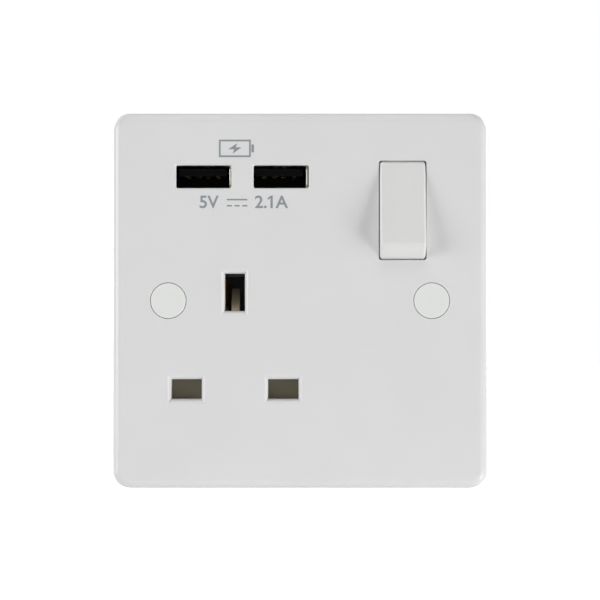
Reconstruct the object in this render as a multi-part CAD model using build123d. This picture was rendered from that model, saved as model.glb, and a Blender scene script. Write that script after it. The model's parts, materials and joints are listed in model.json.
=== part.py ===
from build123d import *
import os
from math import sqrt

# Single-gang 13 A switched wall socket with two USB-A charging ports, in millimetres.
# X is to the right, Z is up and the front faces -Y. Y = 0 is the wall, on which the plate's rim
# lies, and the origin is midway between the two fixing screws.

# Faceplate
PLATE_SIDE = 86.0
PLATE_DEPTH = 9.0
PLATE_CORNER_R = 4.0
PLATE_EDGE_R = 2.2
PLATE_SKIN = 3.0
PLATE_RIM = 2.6
RIB_T = 1.4

# Pin slots of the 13 A outlet
OUTLET_X = -14.93
LINE_Z = -20.3
PIN_SPACING = 22.2
LINE_SLOT_W = 7.0
LINE_SLOT_H = 4.6
EARTH_SLOT_W = 4.6
EARTH_SLOT_H = 8.6
SLOT_DEPTH = 4.6
SLOT_BEVEL = 0.85
LINE_PIN_LENGTH = 17.7
EARTH_PIN_LENGTH = 22.7
CONTACT_DEPTH = 9.8
PIN_TIP_GAP = 0.3

# USB-A ports
USB_X = -13.2
USB_Z = 28.4
USB_PITCH = 17.75
USB_APERTURE_W = 12.6
USB_APERTURE_H = 5.2
USB_BEVEL = 0.3
USB_SKIN = 1.2
USB_OUTER_W = 13.1
USB_OUTER_H = 5.8
USB_LENGTH = 13.7
USB_SHEET = 0.3
USB_SHIFT_LEFT = -0.35
USB_SHIFT_RIGHT = -0.5
TONGUE_W = 11.1
TONGUE_T = 1.84
TONGUE_LIFT = 1.15
TONGUE_SETBACK = 2.0
USB_BLOCK_L = 3.6
USB_CONTACT_W = 1.0
USB_CONTACT_T = 0.3
USB_POWER_X = 3.5
USB_DATA_X = 1.0
USB_POWER_START = 0.8
USB_DATA_START = 1.8
LATCH_W = 2.2
LATCH_L = 3.6
LATCH_PLACE = 6.2
USB_FIT = 0.05

# Rocker switch
SWITCH_X = 23.5
SWITCH_Z = 20.67
PIVOT_DEPTH = 6.0
ROCKER_W = 10.48
ROCKER_REACH = 8.0
ROCKER_FACE_H = 19.25
ROCKER_TILT = 10.8
ROCKER_WALL = 1.5
ROCKER_EDGE = 0.45
ROCKER_SKIRT = 1.0
ROCKER_END_GAP = 0.35
ROCKER_SIDE_GAP = 0.22
TRUNNION_D = 3.0
TRUNNION_L = 1.95
BEARING_GAP = 0.05
CHEEK_GAP = 0.4
CHEEK_T = 1.6
CHEEK_H = 6.4
CHEEK_LIP = 0.6
SNAP_SHARE = 0.85
PLUNGER_D = 4.0
PLUNGER_GAP = 0.1
PLUNGER_BORE_D = 3.0
ROCKER_SPRING_D = 2.3
PLUNGER_SLEEVE = 1.1
NOSE_R = 1.2
NOSE_GAP = 0.15

# Rocking contact under the switch
ROCK_ANGLE = 10.0
ROCK_W = 5.0
ROCK_T = 0.8
ROCK_UP = 9.2
ROCK_DOWN = 6.0
TIP_ARM = 7.4
TIP_D = 3.2
TIP_T = 0.8
TIP_GAP = 0.1
KNUCKLE_GAP = 0.05

# Fixing screws and their caps
FIXING_SPACING = 60.3
FIXING_D = 3.5
FIXING_NECK_D = 3.0
FIXING_LENGTH = 25.0
FIXING_HOLE_D = 4.2
FIXING_HEAD_D = 6.6
FIXING_HEAD_H = 2.0
FIXING_BOSS = 12.0
BOSS_SHORT = 0.4
CAP_D = 8.1
CAP_GAP = 0.12
CAP_T = 1.4
CAP_LEG_T = 0.8
CAP_LEG_W = 3.0
HEAD_RECESS = 5.4

# Shutter, its spring and the inner cover
SHUTTER_TRAVEL = 5.5
SHUTTER_MARGIN_X = 1.1
SHUTTER_MARGIN_TOP = 0.6
SHUTTER_MARGIN_LOW = 2.6
SHUTTER_ARM_W = 5.2
SHUTTER_RIB_W = 1.9
SLIDE_GAP = 0.1
RAIL_GAP = 0.15
RAIL_T = 1.2
SPRING_POCKET_W = 2.5
SPRING_POCKET_L = 4.0
SPRING_D = 2.1
SPRING_WIRE = 0.36
SPRING_LENGTH = 13.0
SPRING_TURNS = 5
COIL_SIDES = 6
COVER_T = 1.8
COVER_GAP = 0.3
PASSAGE_MARGIN = 0.3

# Rear housing
BASE_SIDE = 67.0
BASE_CORNER_R = 2.0
BASE_WALL = 1.6
BASE_FLOOR_T = 1.8
LUG_NOTCH_X = 24.6
LUG_NOTCH_H = 15.0
RIB_WALL = 1.0
POCKET_GAP = 0.3
MODULE_RIGHT = 11.3
MODULE_BOTTOM = 15.6
MODULE_LEDGE = 1.0
BOARD_T = 1.6
BOARD_GAP = 0.3
PARTS_HEIGHT = 12.3
CORE_SHIFT = 2.0
CORE_W = 13.0
CORE_H = 11.0
CORE_D = 10.0
CORE_LEG = 1.8
CORE_LIFT = 1.0
CAN_D = 6.0
CAN_H = 11.2
CAN_GAP = 0.3
OUTPUT_SHIFT_X = 9.5
OUTPUT_SHIFT_Z = 3.0
SAFETY_W = 6.6
SAFETY_T = 2.8
SAFETY_H = 6.5
SAFETY_SHIFT_X = 9.0
SAFETY_SHIFT_Z = -3.4
CHIP_W = 5.0
CHIP_L = 4.0
CHIP_T = 1.5
CHIP_SHIFT_X = 16.2
CHIP_SHIFT_Z = 3.6
FUSE_D = 2.6
FUSE_H = 8.0
FUSE_SHIFT_X = 14.6
FUSE_SHIFT_Z = -0.9
BRIDGE_W = 2.6
BRIDGE_L = 5.0
BRIDGE_H = 4.6
BRIDGE_SHIFT_X = -11.2
BRIDGE_SHIFT_Z = 3.4

# Screws that join the housing to the plate
JOIN_X = 28.6
JOIN_Z = 12.0
JOIN_TOP_X = 14.2
JOIN_TOP_Z = 28.9
JOIN_D = 2.9
JOIN_GRIP = 4.8
JOIN_HEAD_D = 5.2
JOIN_HEAD_H = 1.9
JOIN_GAP = 0.05
JOIN_POST = 5.4
JOIN_PILLAR = 6.4

# Brass straps, jaws and terminals
STRAP_T = 0.8
STRAP_W = 4.0
FEED_W = 2.4
FEED_PIN = 1.2
FEED_SLOT = 1.8
LOAD_X = 14.0
SUPPLY_X = 20.0
SUPPLY_SIDE_X = 29.6
SUPPLY_CROSS_Z = 11.6
NEUTRAL_FEED_X = -21.3
FEED_Z = 19.6
FEED_IN = 2.1
JAW_T = 0.6
LINE_JAW_W = 5.6
EARTH_JAW_W = 6.6
LINE_NECK = 3.4
EARTH_NECK = 3.3
JAW_ROOT = 5.6
JAW_FLARE = 5.4
JAW_FLARE_L = 1.8
JAW_ROOT_L = 2.0
TERMINAL_W = 8.0
TERMINAL_H = 7.5
TERMINAL_D = 8.1
WIRE_HOLE_D = 4.6
WIRE_HOLE_WALL = 1.1
CLAMP_D = 3.9
CLAMP_HOLE_D = 4.1
CLAMP_HEAD_D = 6.0
CLAMP_HEAD_H = 2.3
CLAMP_TRAVEL = 3.0
COLLAR_GAP = 0.3
COLLAR_WALL = 0.7

# Depths from front to back, which follow from the sizes above
FRONT = -PLATE_DEPTH
SKIN_BACK = FRONT + PLATE_SKIN
PAD_BACK = FRONT + SLOT_DEPTH
BASE_FRONT = 0.0
BOSS_BACK = BASE_FRONT - BOSS_SHORT
COVER_FRONT = BASE_FRONT - COVER_T
SHUTTER_FRONT = PAD_BACK + SLIDE_GAP
SHUTTER_BACK = COVER_FRONT - SLIDE_GAP
JAW_MOUTH = FRONT + CONTACT_DEPTH
STRAP_FRONT = FRONT + LINE_PIN_LENGTH + PIN_TIP_GAP
STRAP_BACK = STRAP_FRONT + STRAP_T
BASE_BACK = STRAP_BACK + BASE_FLOOR_T
EARTH_FRONT = FRONT + EARTH_PIN_LENGTH + PIN_TIP_GAP
EARTH_BACK = EARTH_FRONT + STRAP_T
USB_LIP = FRONT + USB_SKIN + USB_FIT
BOARD_FRONT = USB_LIP + USB_LENGTH
BOARD_BACK = BOARD_FRONT + BOARD_T
MODULE_BACK = BOARD_BACK + PARTS_HEIGHT
CORE_Y = BOARD_BACK + CORE_LIFT + CORE_D / 2
PIVOT_Y = FRONT + PIVOT_DEPTH
ROCK_Y = STRAP_FRONT - 2 * TIP_T - TIP_GAP
HEAD_SEAT = FRONT + HEAD_RECESS
TERMINAL_FRONT = STRAP_FRONT - TERMINAL_D
WIRE_Y = TERMINAL_FRONT + WIRE_HOLE_WALL + WIRE_HOLE_D / 2
CLAMP_SEAT = STRAP_BACK + SLIDE_GAP + CLAMP_TRAVEL
CLAMP_TIP = WIRE_Y + WIRE_HOLE_D / 2 + SLIDE_GAP

# Places in the front view, which follow from the sizes above
EARTH_Z = LINE_Z + PIN_SPACING
EARTH_STEP_Z = EARTH_Z - EARTH_SLOT_H / 2
NEUTRAL_X = OUTLET_X - PIN_SPACING / 2
LIVE_X = OUTLET_X + PIN_SPACING / 2
USB_LEFT = USB_X - USB_PITCH / 2
USB_RIGHT = USB_X + USB_PITCH / 2
PORT_LEFT = USB_LEFT + USB_SHIFT_LEFT
PORT_RIGHT = USB_RIGHT + USB_SHIFT_RIGHT
FIXINGS = (-FIXING_SPACING / 2, FIXING_SPACING / 2)
JOINS = ((-JOIN_X, -JOIN_Z), (JOIN_X, -JOIN_Z), (JOIN_TOP_X, JOIN_TOP_Z))
BASE_LOW = -BASE_SIDE / 2
TERMINAL_Z = BASE_LOW + POCKET_GAP + TERMINAL_H / 2
TERMINALS = (NEUTRAL_X, OUTLET_X, SUPPLY_X)
ROCKER_R = sqrt(ROCKER_REACH**2 + (ROCKER_FACE_H / 2) ** 2)
NOSE_REACH = ROCK_Y - ROCK_T - PIVOT_Y - NOSE_GAP
TIP_Z = SWITCH_Z + TIP_ARM
SHUTTER_TOP = LINE_Z + LINE_SLOT_H / 2 + SHUTTER_MARGIN_TOP
SHUTTER_LOW = LINE_Z - LINE_SLOT_H / 2 - SHUTTER_MARGIN_LOW
SHUTTER_W = PIN_SPACING + LINE_SLOT_W + 2 * SHUTTER_MARGIN_X
SPRING_TOP = SHUTTER_LOW + SPRING_POCKET_L
SPRING_STOP = SPRING_TOP - SPRING_LENGTH
COVER_LOW = SPRING_STOP - RAIL_T
COVER_TOP = EARTH_Z + EARTH_SLOT_H / 2 + 3 * RAIL_T
RAIL_X = SHUTTER_W / 2 + RAIL_GAP + RAIL_T / 2
MODULE_LEFT = -BASE_SIDE / 2
MODULE_TOP = BASE_SIDE / 2
MODULE_X = (MODULE_LEFT + MODULE_RIGHT) / 2
MODULE_Z = (MODULE_BOTTOM + MODULE_TOP) / 2
CORE_X = MODULE_X - CORE_SHIFT


def facing(depth):
    """Plane parallel to the wall, seen from the front: its x is +X and its y is +Z."""
    return Plane((0, depth, 0), x_dir=(1, 0, 0), z_dir=(0, -1, 0))


def slab(outline, front, back):
    """Solid with this front-view outline between two depths."""
    return extrude(facing(back) * outline, back - front)


def bar(profile, middle, width):
    """Solid with this side profile, drawn as depth and height, centred on an X position."""
    side = Plane((middle - width / 2, 0, 0), x_dir=(0, 1, 0), z_dir=(1, 0, 0))
    return extrude(side * profile, width)


def column(profile, middle, height):
    """Solid with this plan, drawn as depth and X position, centred on a Z position."""
    top = Plane((0, 0, middle + height / 2), x_dir=(0, 1, 0), z_dir=(0, 0, -1))
    return extrude(top * profile, height)


def rod(x, z, diameter, front, back):
    """Round bar along Y between two depths."""
    return slab(Pos(x, z) * Circle(diameter / 2), front, back)


def bevel_back(solid, size):
    """A solid with the edges of its rear face bevelled."""
    return chamfer(solid.faces().sort_by(Axis.Y)[-1].edges(), size)


def frame_rect(left, right, low, high):
    """Rectangle between two positions each way."""
    return Pos((left + right) / 2, (low + high) / 2) * Rectangle(right - left, high - low)


def strip_run(start, end, width):
    """Outline of a straight run of strip, with square ends half a width past both points."""
    half = width / 2
    left, right = sorted((start[0], end[0]))
    low, high = sorted((start[1], end[1]))
    return frame_rect(left - half, right + half, low - half, high + half)


def strip(points, width):
    """Outline of strip that follows square corners."""
    runs = [strip_run(a, b, width) for a, b in zip(points, points[1:])]
    return sum(runs[1:], runs[0])


def coil(mean_d, wire_d, length, turns):
    """Compression spring along +Z, starting at the origin, with straight stretches of square wire."""
    steps = turns * COIL_SIDES
    rise = (length - wire_d) / steps
    start = Vector(mean_d / 2, 0, wire_d / 2)
    turn = 360 / COIL_SIDES
    path = Polyline(*[start.rotate(Axis.Z, i * turn) + Vector(0, 0, i * rise) for i in range(steps + 1)])
    section = Plane(origin=path @ 0, z_dir=path % 0) * Rectangle(wire_d, wire_d)
    return sweep(section, path=path, transition=Transition.RIGHT)


def lead_in(x, z, width, height):
    """Cutter for a pin slot: straight through, with a rounded-off mouth in two slopes."""
    mouth = (
        facing(FRONT) * Pos(x, z) * Rectangle(width + 2 * SLOT_BEVEL, height + 2 * SLOT_BEVEL),
        facing(FRONT + SLOT_BEVEL * 0.3) * Pos(x, z) * Rectangle(width + SLOT_BEVEL, height + SLOT_BEVEL),
        facing(FRONT + SLOT_BEVEL * 1.1) * Pos(x, z) * Rectangle(width, height),
    )
    through = slab(Pos(x, z) * Rectangle(width, height), FRONT, PAD_BACK)
    return loft(mouth, ruled=True) + through


def plate_body():
    """The plate's outer form, hollow at the back."""
    outline = RectangleRounded(PLATE_SIDE, PLATE_SIDE, PLATE_CORNER_R)
    body = slab(outline, FRONT, 0)
    body = fillet(body.faces().sort_by(Axis.Y)[0].edges(), PLATE_EDGE_R)
    inside = PLATE_SIDE - 2 * PLATE_RIM
    return body - slab(Rectangle(inside, inside), SKIN_BACK, 0)


def plate_pad():
    """Thick land behind the pin slots, on which the shutter slides, with its rails and spring stop."""
    low = SHUTTER_LOW - SHUTTER_TRAVEL
    pad = frame_rect(OUTLET_X - RAIL_X, OUTLET_X + RAIL_X, COVER_LOW, COVER_TOP)
    solid = slab(pad, SKIN_BACK, PAD_BACK)
    side = (SHUTTER_ARM_W + RAIL_T) / 2 + RAIL_GAP
    inner_low = SHUTTER_TOP + SLIDE_GAP / 2
    for x in (-1, 1):
        outer = Pos(OUTLET_X + x * RAIL_X, (low + SHUTTER_TOP) / 2) * Rectangle(RAIL_T, SHUTTER_TOP - low)
        inner = frame_rect(-RAIL_T / 2, RAIL_T / 2, inner_low, COVER_TOP)
        solid += slab(outer + Pos(OUTLET_X + x * side, 0) * inner, PAD_BACK, COVER_FRONT)
    stop = frame_rect(OUTLET_X - SPRING_D, OUTLET_X + SPRING_D, COVER_LOW, SPRING_STOP)
    return solid + slab(stop, PAD_BACK, COVER_FRONT)


def plate_bosses():
    """Bosses for the fixing screws with their ribs, and posts for the joining screws."""
    rim = (PLATE_SIDE - PLATE_RIM) / 2
    bosses = slab(strip(((-rim, 0), (FIXINGS[0], 0)), RIB_T), SKIN_BACK, SKIN_BACK / 2)
    bosses += slab(strip(((FIXINGS[1], 0), (rim, 0)), RIB_T), SKIN_BACK, SKIN_BACK / 2)
    for x in FIXINGS:
        bosses += slab(Pos(x, 0) * Rectangle(FIXING_BOSS, FIXING_BOSS), SKIN_BACK, BOSS_BACK)
    for x, z in JOINS:
        bosses += slab(Pos(x, z) * Rectangle(JOIN_POST, JOIN_POST), SKIN_BACK, BOSS_BACK)
    return bosses


def bearing_cheeks():
    """Two cheeks with snap-in bearings for the rocker's trunnions."""
    hole = TRUNNION_D / 2 + BEARING_GAP
    back = PIVOT_Y + TRUNNION_D / 2 + CHEEK_LIP
    profile = frame_rect(SKIN_BACK, back, SWITCH_Z - CHEEK_H / 2, SWITCH_Z + CHEEK_H / 2)
    profile -= Pos(PIVOT_Y, SWITCH_Z) * Circle(hole)
    mouth = hole * SNAP_SHARE
    profile -= frame_rect(PIVOT_Y, back, SWITCH_Z - mouth, SWITCH_Z + mouth)
    offset_x = ROCKER_W / 2 + CHEEK_GAP + CHEEK_T / 2
    return bar(profile, SWITCH_X - offset_x, CHEEK_T) + bar(profile, SWITCH_X + offset_x, CHEEK_T)


def rocker_opening():
    """Cutter for the rocker's opening, whose ends flare inwards to follow the rocker's swing."""
    width = ROCKER_W + 2 * ROCKER_SIDE_GAP
    swing = ROCKER_R + ROCKER_END_GAP
    sections = []
    for depth in (FRONT, SKIN_BACK):
        height = 2 * sqrt(swing**2 - (depth - PIVOT_Y) ** 2)
        sections.append(facing(depth) * Pos(SWITCH_X, SWITCH_Z) * Rectangle(width, height))
    return loft(sections, ruled=True)


def usb_opening(x, port_x):
    """Cutter for a USB opening with a bevelled mouth, and for the room around its port behind the skin."""
    hole = Pos(x, USB_Z) * Rectangle(USB_APERTURE_W, USB_APERTURE_H)
    mouth = Pos(x, USB_Z) * Rectangle(USB_APERTURE_W + 2 * USB_BEVEL, USB_APERTURE_H + 2 * USB_BEVEL)
    bevel = loft((facing(FRONT) * mouth, facing(FRONT + USB_BEVEL) * hole), ruled=True)
    room = Pos(port_x, USB_Z) * Rectangle(USB_OUTER_W + 2 * POCKET_GAP, USB_OUTER_H + 2 * POCKET_GAP)
    return bevel + slab(hole, FRONT, SKIN_BACK) + slab(room, FRONT + USB_SKIN, SKIN_BACK)


def front_plate():
    plate = plate_body() + plate_pad() + plate_bosses() + bearing_cheeks()
    plate -= lead_in(NEUTRAL_X, LINE_Z, LINE_SLOT_W, LINE_SLOT_H)
    plate -= lead_in(LIVE_X, LINE_Z, LINE_SLOT_W, LINE_SLOT_H)
    plate -= lead_in(OUTLET_X, EARTH_Z, EARTH_SLOT_W, EARTH_SLOT_H)
    plate -= usb_opening(USB_LEFT, PORT_LEFT)
    plate -= usb_opening(USB_RIGHT, PORT_RIGHT)
    plate -= rocker_opening()
    for x in FIXINGS:
        plate -= rod(x, 0, CAP_D + 2 * CAP_GAP, FRONT, HEAD_SEAT)
        plate -= rod(x, 0, FIXING_HOLE_D, HEAD_SEAT, 0)
    for x, z in JOINS:
        plate -= rod(x, z, JOIN_D + 2 * JOIN_GAP, BOSS_BACK - JOIN_GRIP - JOIN_GAP, BOSS_BACK)
    return plate


def rocker_profile(reach, radius, back):
    """Side profile about the pivot: a flat face, and ends that are arcs about the pivot."""
    disc = Circle(radius)
    return disc & frame_rect(-reach, back, -2 * radius, 2 * radius)


def rocker_at_middle():
    """The rocker about its own pivot at mid-travel, with its face square to Y."""
    body = bar(rocker_profile(ROCKER_REACH, ROCKER_R, -ROCKER_SKIRT), 0, ROCKER_W)
    back = body.faces().sort_by(Axis.Y)[-1]
    body = chamfer(body.edges() - back.edges(), ROCKER_EDGE)
    inner_reach = ROCKER_REACH - ROCKER_WALL
    hollow = rocker_profile(inner_reach, ROCKER_R - ROCKER_WALL, 0)
    body -= bar(hollow, 0, ROCKER_W - 2 * ROCKER_WALL)
    bore_d = PLUNGER_D + 2 * PLUNGER_GAP
    sleeve_back = ROCKER_REACH / 2
    sleeve = bore_d + 2 * PLUNGER_SLEEVE
    body += slab(Rectangle(sleeve, sleeve), -inner_reach, sleeve_back)
    body -= rod(0, 0, bore_d, ROCKER_WALL - inner_reach, sleeve_back)
    side = ROCKER_W / 2 - ROCKER_WALL / 2
    lug = frame_rect(-inner_reach, TRUNNION_D / 2 + ROCKER_WALL, -CHEEK_H / 2, CHEEK_H / 2)
    for x in (-1, 1):
        body += bar(lug, x * side, ROCKER_WALL)
        body += bar(Circle(TRUNNION_D / 2), x * (ROCKER_W + TRUNNION_L) / 2, TRUNNION_L)
    return body


def at_switch(shape):
    """A piece drawn about the rocker's pivot, moved to it and tipped to the off position."""
    return Pos(SWITCH_X, PIVOT_Y, SWITCH_Z) * Rot(X=-ROCKER_TILT) * shape


def rocker():
    return at_switch(rocker_at_middle())


def plunger_floor():
    """Depth behind the pivot at which the spring pushes on the plunger."""
    return ROCKER_REACH / 2


def rocker_plunger():
    """Hollow plunger with a half-round ridge across its end, which slides along the rocking contact."""
    start = ROCKER_REACH / 8
    nose_y = NOSE_REACH - NOSE_R
    shoulder = nose_y - NOSE_R
    body = rod(0, 0, PLUNGER_D, start, shoulder) - rod(0, 0, PLUNGER_BORE_D, start, plunger_floor())
    nose = frame_rect(shoulder, nose_y, -NOSE_R, NOSE_R) + Pos(nose_y, 0) * Circle(NOSE_R)
    return at_switch(body + bar(nose, 0, sqrt(PLUNGER_D**2 - 4 * NOSE_R**2)))


def rocker_spring():
    start = ROCKER_WALL * 2 - ROCKER_REACH
    length = plunger_floor() - start
    spring = coil(ROCKER_SPRING_D, SPRING_WIRE, length, SPRING_TURNS)
    return at_switch(Pos(0, start, 0) * Rot(X=-90) * spring)


def arm_outline(length, sign):
    """One arm of the rocking contact, drawn from its axis and leaning towards the front."""
    arm = frame_rect(-ROCK_T, 0, min(0, sign * length), max(0, sign * length))
    return Rot(Z=sign * ROCK_ANGLE) * arm


def at_axis(shape):
    """A piece drawn about the rocking contact's axis, moved to it and tipped to the off position."""
    return Pos(SWITCH_X, ROCK_Y, SWITCH_Z) * Rot(X=ROCK_ANGLE) * shape


def moving_contact():
    profile = arm_outline(ROCK_UP, 1) + arm_outline(ROCK_DOWN, -1) + Circle(ROCK_T)
    return at_axis(bar(profile, 0, ROCK_W))


def moving_tip():
    return at_axis(Rot(X=ROCK_ANGLE) * rod(0, TIP_ARM, TIP_D, 0, TIP_T))


def fixed_tip():
    return rod(SWITCH_X, TIP_Z, TIP_D, STRAP_FRONT - TIP_T, STRAP_FRONT)


def load_outline():
    """Strip from the switch's pivot to the live jaw, with a branch to the charger board."""
    main = strip(((SWITCH_X, SWITCH_Z), (LOAD_X, SWITCH_Z), (LOAD_X, LINE_Z), (LIVE_X, LINE_Z)), STRAP_W)
    feed_end = MODULE_RIGHT - BASE_WALL - FEED_IN
    return main + strip(((LOAD_X, SWITCH_Z), (feed_end, SWITCH_Z)), FEED_W)


def supply_outline():
    """Strip from the live terminal to the fixed contact tip."""
    points = (
        (SWITCH_X, TIP_Z),
        (SUPPLY_SIDE_X, TIP_Z),
        (SUPPLY_SIDE_X, SUPPLY_CROSS_Z),
        (SUPPLY_X, SUPPLY_CROSS_Z),
        (SUPPLY_X, TERMINAL_Z),
    )
    return strip(points, STRAP_W) + terminal_tab(SUPPLY_X)


def neutral_outline():
    """Strip under the neutral jaw, from its terminal to the charger board."""
    main = strip(((NEUTRAL_X, LINE_Z), (NEUTRAL_X, TERMINAL_Z)), LINE_JAW_W)
    feed = strip(((NEUTRAL_X, LINE_Z), (NEUTRAL_FEED_X, LINE_Z), (NEUTRAL_FEED_X, FEED_Z)), FEED_W)
    return main + feed + terminal_tab(NEUTRAL_X)


def earth_outline():
    """Strip from the earth jaw down to its terminal."""
    run = frame_rect(OUTLET_X - LINE_JAW_W / 2, OUTLET_X + LINE_JAW_W / 2, TERMINAL_Z, EARTH_STEP_Z)
    return run + terminal_tab(OUTLET_X)


def terminal_tab(x):
    """End of a strip that lies on a terminal block."""
    return Pos(x, TERMINAL_Z) * Rectangle(TERMINAL_W - 1, TERMINAL_H - 1)


def flat_strap(outline):
    """Strap stamped from sheet, lying on the housing's floor."""
    return slab(outline, STRAP_FRONT, STRAP_BACK)


def clamp_hole(x):
    """Square hole punched through a strap for its terminal's clamp screw."""
    side = CLAMP_HOLE_D + 2 * SLIDE_GAP
    return slab(Pos(x, TERMINAL_Z) * Rectangle(side, side), STRAP_FRONT, STRAP_BACK)


def feed_pin(x, z):
    """Pin bent up from a strap through the charger board."""
    pin = Pos(x, z) * Rectangle(FEED_PIN, STRAP_T)
    return slab(pin, BOARD_FRONT - STRAP_T, STRAP_FRONT)


def jaw_leaf(mouth, root, neck, sign):
    """One sprung leaf of a jaw, drawn as depth and distance from the pin's middle."""
    inner = (
        (root, JAW_ROOT / 2),
        (root - JAW_ROOT_L, JAW_ROOT / 2),
        (mouth + JAW_FLARE_L, neck / 2),
        (mouth, JAW_FLARE / 2),
    )
    outer = [(depth, gap + JAW_T) for depth, gap in reversed(inner)]
    points = [(depth, sign * gap) for depth, gap in (*inner, *outer)]
    return make_face(Polyline(*points, close=True))


def jaw_leaves(root, neck):
    """Both leaves of a jaw, from its mouth to its foot."""
    return jaw_leaf(JAW_MOUTH, root, neck, 1) + jaw_leaf(JAW_MOUTH, root, neck, -1)


def line_jaw(x):
    """Two leaves that grip a line pin from above and below."""
    leaves = jaw_leaves(STRAP_FRONT, LINE_NECK)
    foot = slab(Pos(x, LINE_Z) * Rectangle(LINE_JAW_W, JAW_ROOT + 2 * JAW_T), STRAP_FRONT, STRAP_BACK)
    return bar(Pos(0, LINE_Z) * leaves, x, LINE_JAW_W) + foot


def neutral_contact():
    contact = flat_strap(neutral_outline()) - clamp_hole(NEUTRAL_X)
    return contact + line_jaw(NEUTRAL_X) + feed_pin(NEUTRAL_FEED_X, FEED_Z)


def live_contact():
    contact = flat_strap(load_outline()) + line_jaw(LIVE_X)
    contact += feed_pin(MODULE_RIGHT - BASE_WALL - FEED_IN, SWITCH_Z)
    saddle = frame_rect(ROCK_Y + ROCK_T / 4, STRAP_FRONT, -2 * ROCK_T, 2 * ROCK_T)
    saddle -= Pos(ROCK_Y, 0) * Circle(ROCK_T + KNUCKLE_GAP)
    return contact + bar(Pos(0, SWITCH_Z) * saddle, SWITCH_X, STRAP_W)


def supply_contact():
    return flat_strap(supply_outline()) - clamp_hole(SUPPLY_X)


def earth_contact():
    """Strap with a step and a fork at its end, whose prongs carry the jaw's leaves beside the pin."""
    leaves = Pos(0, OUTLET_X) * jaw_leaves(EARTH_FRONT, EARTH_NECK)
    contact = column(leaves, EARTH_Z, EARTH_JAW_W - 2 * POCKET_GAP)
    half = JAW_ROOT / 2 + JAW_T
    high = EARTH_Z + EARTH_JAW_W / 2
    fork = frame_rect(OUTLET_X - half, OUTLET_X + half, EARTH_STEP_Z - STRAP_T, high)
    fork -= frame_rect(OUTLET_X - EARTH_SLOT_W / 2, OUTLET_X + EARTH_SLOT_W / 2, EARTH_STEP_Z, high)
    contact += slab(fork, EARTH_FRONT, EARTH_BACK)
    step = frame_rect(STRAP_FRONT, EARTH_BACK, EARTH_STEP_Z - STRAP_T, EARTH_STEP_Z)
    contact += bar(step, OUTLET_X, LINE_JAW_W)
    strap = slab(earth_outline(), STRAP_FRONT, STRAP_BACK)
    return contact + strap - clamp_hole(OUTLET_X)


def terminal(x):
    """Brass pillar with a hole for the conductor from below and a threaded hole for its screw."""
    block = slab(Pos(x, TERMINAL_Z) * Rectangle(TERMINAL_W, TERMINAL_H), TERMINAL_FRONT, STRAP_FRONT)
    block -= column(Pos(WIRE_Y, x) * Circle(WIRE_HOLE_D / 2), TERMINAL_Z, TERMINAL_H)
    return block - rod(x, TERMINAL_Z, CLAMP_HOLE_D, WIRE_Y, STRAP_FRONT)


def clamp_screw(x):
    """Terminal screw, turned back so that the conductor's hole is free."""
    head_back = CLAMP_SEAT + CLAMP_HEAD_H
    screw = rod(x, TERMINAL_Z, CLAMP_D, CLAMP_TIP, CLAMP_SEAT)
    return screw + rod(x, TERMINAL_Z, CLAMP_HEAD_D, CLAMP_SEAT, head_back)


def base_outline():
    """The housing's outline, notched on both sides for the lugs of the wall box."""
    outline = Rectangle(BASE_SIDE, BASE_SIDE)
    half = BASE_SIDE / 2
    for x in (-1, 1):
        outer = sorted((x * LUG_NOTCH_X, x * half))
        outline -= frame_rect(outer[0], outer[1], -LUG_NOTCH_H / 2, LUG_NOTCH_H / 2)
    corners = outline.vertices().filter_by(lambda v: abs(v.Y) > LUG_NOTCH_H)
    return fillet(corners, BASE_CORNER_R)


def module_rect(inset):
    """Outline of the charger's compartment, drawn in from its outer walls."""
    return frame_rect(MODULE_LEFT + inset, MODULE_RIGHT - inset, MODULE_BOTTOM + inset, MODULE_TOP - inset)


def jaw_box(x, z, width, height):
    """Walls around a jaw."""
    outer = Rectangle(width + 2 * RIB_WALL, height + 2 * RIB_WALL)
    return Pos(x, z) * (outer - Rectangle(width, height))


def base_ribs():
    """Walls that stand on the housing's floor around the jaws and the terminals."""
    jaw_room = JAW_ROOT + 2 * JAW_T + 2 * POCKET_GAP
    line_room = LINE_JAW_W + 2 * POCKET_GAP
    ribs = jaw_box(NEUTRAL_X, LINE_Z, line_room, jaw_room) + jaw_box(LIVE_X, LINE_Z, line_room, jaw_room)
    ribs += offset(earth_pocket(), RIB_WALL, kind=Kind.INTERSECTION) - earth_pocket()
    for x in TERMINALS:
        ribs += jaw_box(x, TERMINAL_Z, TERMINAL_W + POCKET_GAP, TERMINAL_H + POCKET_GAP)
    return slab(ribs & base_outline(), BASE_FRONT, STRAP_BACK)


def strap_channels():
    """Room for the straps through the housing's inner walls."""
    outlines = load_outline() + supply_outline() + neutral_outline() + earth_outline()
    room = offset(outlines, POCKET_GAP / 2, kind=Kind.INTERSECTION)
    return slab(room, STRAP_FRONT - SLIDE_GAP, STRAP_BACK)


def earth_pocket():
    """Deeper room for the earth jaw's prongs and the step of its strap."""
    low = EARTH_STEP_Z - STRAP_T - POCKET_GAP
    half = JAW_ROOT / 2 + JAW_T + POCKET_GAP
    return frame_rect(OUTLET_X - half, OUTLET_X + half, low, EARTH_Z + EARTH_JAW_W / 2 + POCKET_GAP)


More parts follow.
